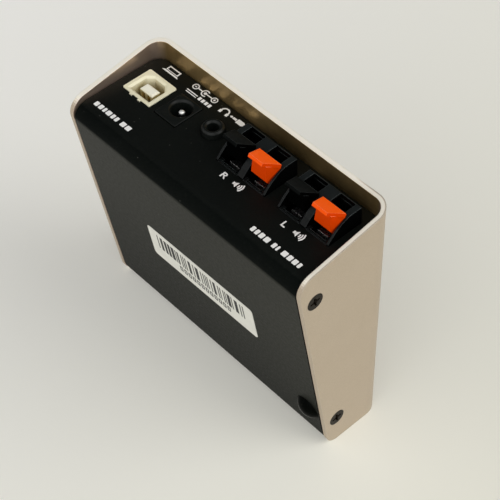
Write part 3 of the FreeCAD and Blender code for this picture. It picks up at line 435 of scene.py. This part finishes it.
# In the materials below, edge colours are painted edge highlights, away and hollow colours are
# painted shade, and glow is a painted glow.
TERMINAL = plastic(
    "black_moulded", (0.0078, 0.0098, 0.0098), (0.0112, 0.0136, 0.0134), rough=(0.34, 0.46),
    edge=(0.165, 0.195, 0.195), edge_amount=0.85, edge_radius=0.00028, spec=0.26,
    away=dict(colour=(0.0012, 0.0014, 0.0014), span=(0.45, 0.97), dulling=0.86),
    hollow=dict(colour=(0.0012, 0.0014, 0.0014), reach=0.0026, own_only=False,
                span=(0.35, 0.85)))
LEVER_BLACK = plastic(
    "black_lever_plastic", (0.0030, 0.0040, 0.0037), (0.0048, 0.0058, 0.0054),
    rough=(0.34, 0.46), edge=(0.08, 0.09, 0.09), edge_amount=0.55, edge_radius=0.0003,
    spec=0.026, away=dict(colour=(0.0008, 0.0009, 0.0009), span=(0.30, 0.62), dulling=0.9))
ORANGE = plastic(
    "orange_plastic", (1.0, 0.100, 0.001), (1.0, 0.115, 0.002), rough=(0.42, 0.56),
    edge=(1.0, 0.42, 0.24), edge_amount=0.85, edge_radius=0.00035, spec=0.12, sss=0.05,
    scuff=(0.98, 0.17, 0.02),
    away=dict(colour=(0.52, 0.030, 0.0005), span=(0.25, 0.66), dulling=0.7),
    hollow=dict(colour=(0.11, 0.006, 0.0), reach=0.0034, own_only=False, span=(0.22, 0.62)),
    glow=dict(colour=(1.0, 0.11, 0.0), strength=0.15))
IVORY = ivory_plastic()
GLOSS_BLACK = plastic("gloss_black_plastic", (0.0044, 0.0058, 0.0050), (0.0066, 0.0080, 0.0070),
                      rough=(0.30, 0.42), edge=(0.030, 0.032, 0.032), edge_radius=0.00025,
                      spec=0.22)
RUBBER = plastic("foot_rubber", (0.0012, 0.0016, 0.0012), (0.0022, 0.0028, 0.0022),
                 rough=(0.07, 0.12), edge=(0.045, 0.05, 0.04), edge_radius=0.0002, spec=0.015,
                 bump=0.1)
OXIDE = metal("black_oxide", (0.011, 0.0085, 0.006), (0.024, 0.019, 0.0135),
              rough=(0.26, 0.40)).set(metal=0.10, spec=0.06)
ZINC = metal("bright_zinc", (0.62, 0.63, 0.62), (0.76, 0.76, 0.74), rough=(0.20, 0.34))
SHEET = metal("galvanised_sheet", (0.50, 0.51, 0.51), (0.66, 0.67, 0.67), rough=(0.32, 0.5),
              scale=500)
STEEL = metal("brushed_steel", (0.55, 0.55, 0.54), (0.70, 0.70, 0.69), rough=(0.24, 0.36),
              stretch=(1, 14, 1))
GOLD = metal("gold_contact", (0.80, 0.56, 0.22), (0.92, 0.70, 0.33), rough=(0.18, 0.28))
PIN = power_pin_tin()
TIN = metal("tin_plate", (0.70, 0.70, 0.68), (0.84, 0.83, 0.81), rough=(0.22, 0.34))
DIAL = dial_turned()
ANODISED = metal("black_anodised", (0.018, 0.018, 0.020), (0.032, 0.032, 0.035),
                 rough=(0.34, 0.48), stretch=(1, 8, 1))
PAPER = label_paper()
WHITE_INK = ink("white_ink", (0.95, 0.95, 0.93), (0.84, 0.84, 0.81))
BLACK_INK = ink("black_ink", (0.012, 0.012, 0.013), (0.03, 0.03, 0.03))
BOARD = solder_mask()
FILM = plastic("dark_film", (0.012, 0.012, 0.014), (0.018, 0.018, 0.02), rough=(0.4, 0.5))
PHENOLIC = plastic("phenolic", (0.16, 0.075, 0.028), (0.22, 0.11, 0.045), rough=(0.45, 0.6))
PAD = plastic("thermal_pad", (0.24, 0.26, 0.30), (0.29, 0.31, 0.35), rough=(0.6, 0.75))
SLEEVE = plastic("cap_sleeve", (0.010, 0.013, 0.035), (0.014, 0.018, 0.045),
                 rough=(0.22, 0.32), edge=(0.10, 0.11, 0.15))
DIPPED = plastic("dipped_film", (0.33, 0.035, 0.02), (0.42, 0.05, 0.03), rough=(0.2, 0.35))
FERRITE = plastic("ferrite", (0.045, 0.045, 0.048), (0.07, 0.07, 0.072), rough=(0.5, 0.65),
                  fine=2400, bump=0.6)
CHIP = plastic("chip_moulding", (0.012, 0.012, 0.013), (0.02, 0.02, 0.021), rough=(0.4, 0.52),
               edge=(0.06, 0.06, 0.06), edge_radius=0.00012, fine=8000, bump=0.5)
INLAY = plastic("dark_inlay", (0.010, 0.010, 0.011), (0.016, 0.016, 0.017), rough=(0.2, 0.3))
LED = plastic("led_body", (0.85, 0.83, 0.62), (0.90, 0.88, 0.70), rough=(0.3, 0.4), sss=0.2)
CLEAR = clear_plastic()

# material, then the pieces made of it
FINISHES = (
    (CHAMPAGNE, "cover"), (BLACK, "chassis"), (OXIDE, "cover_screws"),
    (PAPER, "rating_label"), (RUBBER, "foot"), (BOARD, "circuit_board"),
    (SHEET, "board_rails"), (ZINC, "board_screws"), (FILM, "insulator_sheet"),
    (IVORY, "usb_housing"), (GOLD, "usb_contacts"), (PIN, "dc_jack_pin"),
    (GLOSS_BLACK, "dc_jack_housing phones_jack_housing"),
    (TERMINAL, "terminal_housing_right terminal_housing_left dial_hub"),
    (TIN, "usb_board_locks dc_jack_spring phones_jack_contacts terminal_contacts_right"),
    (TIN, "terminal_contacts_left volume_pot_legs chip_leads"),
    (LEVER_BLACK, "lever_black_right lever_black_left"),
    (ORANGE, "lever_orange_right lever_orange_left"),
    (PHENOLIC, "volume_pot_base"), (STEEL, "volume_pot_case volume_shaft crystal"),
    (DIAL, "dial_shell"), (INLAY, "dial_pointer"), (LED, "power_led"),
    (CLEAR, "light_pipe"), (CHIP, "amp_chip usb_chip dac_chip headphone_chip regulator"),
    (PAD, "thermal_pad"), (ANODISED, "heatsink"),
    (SLEEVE, "bulk_capacitors small_capacitors"), (DIPPED, "film_capacitors"),
    (FERRITE, "filter_inductors"),
)
finish_of = {piece: mat for mat, pieces in FINISHES for piece in pieces.split()}
for name, piece in PIECES.items():
    piece.data.materials.clear()
    piece.data.materials.append(finish_of[name].data)


# ------------------------------------------------------------------ softened edges
# radius (m), then the pieces
SOFTENED = (
    (0.00018, "lever_black_right lever_black_left lever_orange_right lever_orange_left"),
    (0.00012, "terminal_housing_right terminal_housing_left usb_housing dc_jack_housing"),
)


def soften(piece, radius):
    """small true radii on the hard edges of a CAD piece"""
    join = piece.modifiers.new("join", "WELD")
    join.merge_threshold = 0.000002
    flat = piece.modifiers.new("flat", "DECIMATE")
    flat.decimate_type = "DISSOLVE"
    flat.angle_limit = math.radians(0.6)
    bevel = piece.modifiers.new("round", "BEVEL")
    bevel.width = radius
    bevel.segments = 2
    bevel.limit_method = "ANGLE"
    bevel.angle_limit = math.radians(28)
    bevel.harden_normals = False
    bevel.use_clamp_overlap = True
    bevel.miter_outer = "MITER_ARC"


for radius, pieces in SOFTENED:
    for name in pieces.split():
        soften(PIECES[name], radius)


# ------------------------------------------------------------------ flat prints
class Print:
    """thin raised ink shapes, drawn in mm on the plane that place gives; lift, height in m"""
    LIFT = 0.000004

    def __init__(self, place, out, height):
        self.bm = bmesh.new()
        self.place, self.out, self.height = place, out, height

    def poly(self, points):
        new = self.bm.verts.new
        low = [new(self.place(*p) + self.out * self.LIFT) for p in points]
        high = [new(self.place(*p) + self.out * (self.LIFT + self.height)) for p in points]
        self.bm.faces.new(high)
        self.bm.faces.new(low[::-1])
        for i in range(len(points)):
            j = (i + 1) % len(points)
            self.bm.faces.new((low[i], low[j], high[j], high[i]))

    def rect(self, x0, y0, x1, y1):
        self.poly([(x0, y0), (x1, y0), (x1, y1), (x0, y1)])

    def arc(self, centre, radius, width, start=0.0, end=360.0, round_steps=40):
        cx, cy = centre
        steps = max(6, int(round_steps * abs(end - start) / 360))
        outer, inner = radius + width / 2, radius - width / 2
        for i in range(steps):
            a = math.radians(start + (end - start) * i / steps)
            b = math.radians(start + (end - start) * (i + 1) / steps)
            corners = ((inner, a), (outer, a), (outer, b), (inner, b))
            self.poly([(cx + r * math.cos(turn), cy + r * math.sin(turn))
                       for r, turn in corners])

    def disc(self, centre, radius, steps=28):
        turns = [2 * math.pi * i / steps for i in range(steps)]
        self.poly([(centre[0] + radius * math.cos(turn), centre[1] + radius * math.sin(turn))
                   for turn in turns])

    def done(self, name, mat):
        bm = self.bm
        bmesh.ops.remove_doubles(bm, verts=bm.verts, dist=1e-7)
        # faces shared by neighbouring shapes would sit inside the ink
        bm.verts.index_update()
        groups = {}
        for face in bm.faces:
            groups.setdefault(tuple(sorted(v.index for v in face.verts)), []).append(face)
        inner = [face for faces in groups.values() if len(faces) > 1 for face in faces]
        if inner:
            bmesh.ops.delete(bm, geom=inner, context="FACES_ONLY")
        bmesh.ops.recalc_face_normals(bm, faces=bm.faces)
        ink_object = mesh_object(name, bm)
        ink_object.data.materials.append(mat.data)
        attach(ink_object, "case")


def mesh_object(name, bm):
    mesh = bpy.data.meshes.new(name)
    bm.to_mesh(mesh)
    bm.free()
    new_object = bpy.data.objects.new(name, mesh)
    bpy.context.scene.collection.objects.link(new_object)
    return new_object


def on_panel(x, y):
    """rear panel: x to the right seen from behind, y up the panel"""
    return panel_point(-x, 0.0, y)


legend = Print(on_panel, PANEL_OUT, height=0.00003)
STROKE = 0.50
THIN = STROKE * 0.9      # strokes of the letters other than their stems
GAP = 0.001              # keeps neighbouring shapes from merging

# bars as (x0, y0, x1, y1)
COMPUTER_BARS = (
    (-41.2, 31.55, -40.75, 33.35), (-36.65, 31.55, -36.2, 33.35),
    (-40.749, 32.92, -36.651, 33.35), (-40.749, 31.55, -36.651, 31.80),
)
COMPUTER_BASE = [(-42.2, 30.72), (-35.2, 30.72), (-35.9, 31.30), (-41.5, 31.30)]
POWER_Y = 32.8
MINUS_X, POWER_X, PLUS_X = -29.1, -24.9, -20.9
POWER_LINKS = ((-27.9, -26.34), (-24.3, -22.1))            # x0, x1
CURRENT_BARS = ((-30.3, 30.15, -25.6, 30.52), (-30.0, 29.40, -25.6, 29.72))
PLUG_TIP = [(-12.9, 31.85), (-12.45, 31.45), (-11.9, 31.55), (-11.9, 32.15), (-12.45, 32.25)]
PLUG_BODY = [(-10.0, 31.0), (-7.7, 31.0), (-7.2, 31.35), (-7.2, 32.35), (-7.7, 32.7),
             (-10.0, 32.7)]
# x0, x1, y, height, random seed
DASH_ROWS = (
    (-44.4, -33.9, 5.95, 1.75, 5), (-32.5, -28.4, 5.95, 1.75, 9),
    (23.6, 30.6, 5.75, 1.85, 3), (32.0, 34.4, 5.75, 1.85, 4), (35.8, 43.0, 5.75, 1.85, 12),
)


def computer_icon():
    for bar in COMPUTER_BARS:
        legend.rect(*bar)
    legend.poly(COMPUTER_BASE)


def power_icon():
    """polarity rings beside a centre mark, over bars and a row of blocks"""
    y, half_bar, half_thick, half_link = POWER_Y, 0.4, 0.16, 0.19
    for x in (MINUS_X, PLUS_X):
        legend.arc((x, y), radius=0.98, width=0.36)
    for x in (MINUS_X, PLUS_X):
        legend.rect(x - half_bar, y - half_thick, x + half_bar, y + half_thick)
    inner, outer = half_thick + GAP, 0.45
    legend.rect(PLUS_X - half_thick, y + inner, PLUS_X + half_thick, y + outer)
    legend.rect(PLUS_X - half_thick, y - outer, PLUS_X + half_thick, y - inner)
    legend.arc((POWER_X, y), radius=1.22, width=0.42, start=48, end=312)
    legend.disc((POWER_X, y), radius=0.55)
    for x0, x1 in POWER_LINKS:
        legend.rect(x0, y - half_link, x1, y + half_link)
    for bar in CURRENT_BARS:
        legend.rect(*bar)
    for i in range(4):
        x = POWER_X + i * 1.42
        legend.rect(x, 29.45, x + 1.0, 30.75)


def headphone_icon(cx, cy, radius):
    legend.arc((cx, cy), radius, STROKE, start=0, end=180)
    for side in (-1, 1):
        x = cx + side * radius
        legend.rect(x - 0.48, cy - 1.15, x + 0.48, cy - 0.01)


def plug_icon():
    legend.poly(PLUG_TIP)
    legend.rect(-11.7, 31.45, -10.2, 32.25)
    legend.poly(PLUG_BODY)
    legend.rect(-7.0, 31.65, -6.2, 32.05)


def speaker_icon(cx, cy, size=1.12):
    legend.rect(cx - 1.25 * size, cy - 0.42 * size, cx - 0.62 * size, cy + 0.42 * size)
    horn = ((-0.55, -0.45), (0.15, -1.0), (0.15, 1.0), (-0.55, 0.45))
    legend.poly([(cx + x * size, cy + y * size) for x, y in horn])
    for i in range(3):
        legend.arc((cx + 0.1 * size, cy), (0.72 + 0.62 * i) * size, STROKE * 0.86,
                   start=-40, end=40)


def stem(x0, x1, y0, y1):
    legend.poly([(x0, y0), (x0, y1), (x1, y1), (x1, y0)])


def letter_r(x, y, height=2.2):
    half = STROKE / 2
    width = height * 0.70
    bowl_x, bowl_radius = x + width * 0.50, height * 0.29
    top, waist = y + height, y + height * 0.42
    stem(x + half, x - half, y, top)
    legend.rect(x + half + GAP, top - THIN, bowl_x, top)
    legend.arc((bowl_x, top - bowl_radius), bowl_radius - THIN / 2, THIN,
               start=-90, end=90, round_steps=36)
    legend.rect(x + half + GAP, waist, bowl_x, waist + THIN)
    leg_top, leg_foot, leg_width = x + width * 0.36, x + width * 0.78, STROKE * 1.1
    leg_y = y + height * 0.415
    legend.poly([(leg_top, leg_y), (leg_foot, y), (leg_foot + leg_width, y),
                 (leg_top + leg_width, leg_y)])


def letter_l(x, y, height=2.2):
    half = STROKE / 2
    stem(x - half, x + half, y + height, y)
    legend.rect(x + half + GAP, y, x + height * 0.60, y + THIN)


def dashes(start, end, y, height, seed):
    """a plain row of short bars with cut corners, in place of wording"""
    draw = random.Random(seed)
    cut, gap = 0.22, 0.46
    x, top = start, y + height
    while x < end - 0.5:
        width = draw.choice((1.0, 1.2, 1.5, 1.8))
        if end - (x + width) < 0.9:
            width = end - x
        right = x + width
        legend.poly([(x + cut, y), (right - cut, y), (right, y + cut), (right, top - cut),
                     (right - cut, top), (x + cut, top), (x, top - cut), (x, y + cut)])
        x += width + gap


computer_icon()
power_icon()
headphone_icon(-15.2, 31.75, radius=1.35)
plug_icon()
letter_r(3.1, 13.35)
speaker_icon(8.9, 14.45)
letter_l(28.4, 12.95)
speaker_icon(33.9, 14.05)
for row in DASH_ROWS:
    dashes(*row)
legend.done("panel_legend", WHITE_INK)


def on_base(x, y):
    """underside: x mirrored from the case frame, y towards the rear"""
    return case_point(-x, y, -0.1)


def label_bars():
    """a row of upright bars over a row of small open boxes"""
    label = Print(on_base, Vector((0, 0, -1)), height=0.00002)
    draw = random.Random(21)
    x = -19.2
    while x < 19.3:
        width = draw.choice((0.44, 0.44, 0.78, 1.10, 1.35))
        label.rect(x, -2.3, min(x + width, 20.0), 4.35)
        x += width + draw.choice((0.42, 0.50, 0.72, 1.0))
    # each box as (x0, y0, x1, y1) from its left edge: two uprights, then two rails
    box = ((0, -5.75, 0.42, -3.35), (0.93, -5.75, 1.35, -3.35),
           (0.4201, -3.74, 0.9299, -3.35), (0.4201, -5.75, 0.9299, -5.36))
    for i in range(12):
        x = -10.2 + i * 1.96
        for x0, y0, x1, y1 in box:
            label.rect(x + x0, y0, x + x1, y1)
    label.done("label_bars", BLACK_INK)


label_bars()

# ------------------------------------------------------------------ stage
CAM_RIGHT = Vector((-0.67658363, -0.13247431, 0.72435154))
CAM_DOWN = Vector((-0.54695691, -0.56820245, -0.61480413))
CAM_AHEAD = Vector((0.49302407, -0.81215549, 0.31197873))
cam_pos = case_point(-238.54014551, 386.5697712, -131.58301146)


def matrix_of(x_axis, y_axis, z_axis, origin):
    return Matrix([(*row,) for row in zip(x_axis, y_axis, z_axis, origin)] + [(0, 0, 0, 1)])


def level(vector):
    """the part of a vector that lies along the floor"""
    return vector - PANEL_OUT * vector.dot(PANEL_OUT)


def floor_plane(size=6.0, cells=24):
    bm = bmesh.new()
    grid = [[bm.verts.new(((i / cells - 0.5) * size, (j / cells - 0.5) * size, 0))
             for i in range(cells + 1)] for j in range(cells + 1)]
    for j in range(cells):
        for i in range(cells):
            bm.faces.new((grid[j][i], grid[j][i + 1], grid[j + 1][i + 1], grid[j + 1][i]))
    plane = mesh_object("floor", bm)
    plane.matrix_world = matrix_of(ACROSS, PANEL_OUT.cross(ACROSS), PANEL_OUT,
                                   panel_point(0, -84.0, 14))
    return plane


def pale_floor():
    """darker and yellower towards the lower right of the view, a painted shade; see-through from
    below
    """
    # the floor also glows a little, which lifts the shadows on it and lights the unit from below
    mat = Material("pale_floor").set(rough=0.55, spec=0.3, emit=(1.0, 0.99, 0.93), emit_s=0.15)
    # painted shade: darker and yellower towards the lower right of the view
    lower_right = level(CAM_RIGHT * 0.72 + CAM_DOWN * 0.70)
    near = mat.remap(mat.dot(mat.geometry("Position"), lower_right), (-0.16, 0.13))
    clouds = mat.mix(mat.remap(mat.noise(6)), (0.85, 0.845, 0.815), (0.86, 0.855, 0.825))
    mat.set(base=mat.mix(near, clouds, (0.705, 0.698, 0.60)))
    see_through = mat.node("ShaderNodeBsdfTransparent")
    either = mat.node("ShaderNodeMixShader")
    mat.feed(either.inputs[0], mat.geometry("Backfacing"))
    mat.feed(either.inputs[1], mat.shader.outputs[0])
    mat.feed(either.inputs[2], see_through.outputs[0])
    mat.feed(mat.output.inputs[0], either.outputs[0])
    return mat


floor = floor_plane()
floor.data.materials.append(pale_floor().data)


# ------------------------------------------------------------------ light
def soft_room():
    """even light; the far side of the room, mirrored in the rear panel, is dim"""
    world = bpy.data.worlds.new("soft_room")
    bpy.context.scene.world = world
    world.use_nodes = True
    nodes = Nodes(world.node_tree)
    background = world.node_tree.nodes["Background"]
    away = level(CAM_AHEAD)
    away.normalize()
    height = math.radians(32)
    mirrored = away * math.cos(height) + PANEL_OUT * math.sin(height)
    towards = nodes.dot(nodes.coords.outputs["Generated"], mirrored.normalized())
    dim = nodes.remap(towards, (0.25, 0.72), curve="SMOOTHSTEP")
    nodes.feed(background.inputs[0], nodes.mix(dim, (0.90, 0.89, 0.88), (0.07, 0.075, 0.08)))
    background.inputs[1].default_value = 1.06


centre = case_point(0, 0, 18)
to_viewer = level(cam_pos - centre)
to_viewer.normalize()
to_right = PANEL_OUT.cross(to_viewer)


def area(name, right, up, near, reach, size, power, colour):
    """an area light aimed at the centre, placed from it by the viewer's directions"""
    data = bpy.data.lights.new(name, "AREA")
    data.energy = power
    data.size = size
    data.color = colour
    light = bpy.data.objects.new(name, data)
    bpy.context.scene.collection.objects.link(light)
    place = centre + (to_right * right + PANEL_OUT * up + to_viewer * near) * reach
    light.location = place
    light.rotation_mode = "QUATERNION"
    light.rotation_quaternion = (centre - place).to_track_quat("-Z", "Y")


soft_room()
area("key", right=0.9, up=0.9, near=0.35, reach=1.0, size=0.9, power=4.4,
     colour=(1.0, 0.985, 0.95))
area("fill", right=-0.6, up=0.7, near=1.0, reach=1.1, size=1.2, power=3.0,
     colour=(0.97, 0.98, 1.0))

# ------------------------------------------------------------------ camera
camera_data = bpy.data.cameras.new("camera")
camera = bpy.data.objects.new("camera", camera_data)
bpy.context.scene.collection.objects.link(camera)
camera_data.sensor_width = 36.0
camera_data.lens = 113.48352
camera_data.clip_start, camera_data.clip_end = 0.01, 20
camera.matrix_world = matrix_of(CAM_RIGHT, -CAM_DOWN, -CAM_AHEAD, cam_pos)
bpy.context.scene.camera = camera
bpy.context.scene.view_settings.view_transform = "Standard"
bpy.context.scene.view_settings.look = "None"
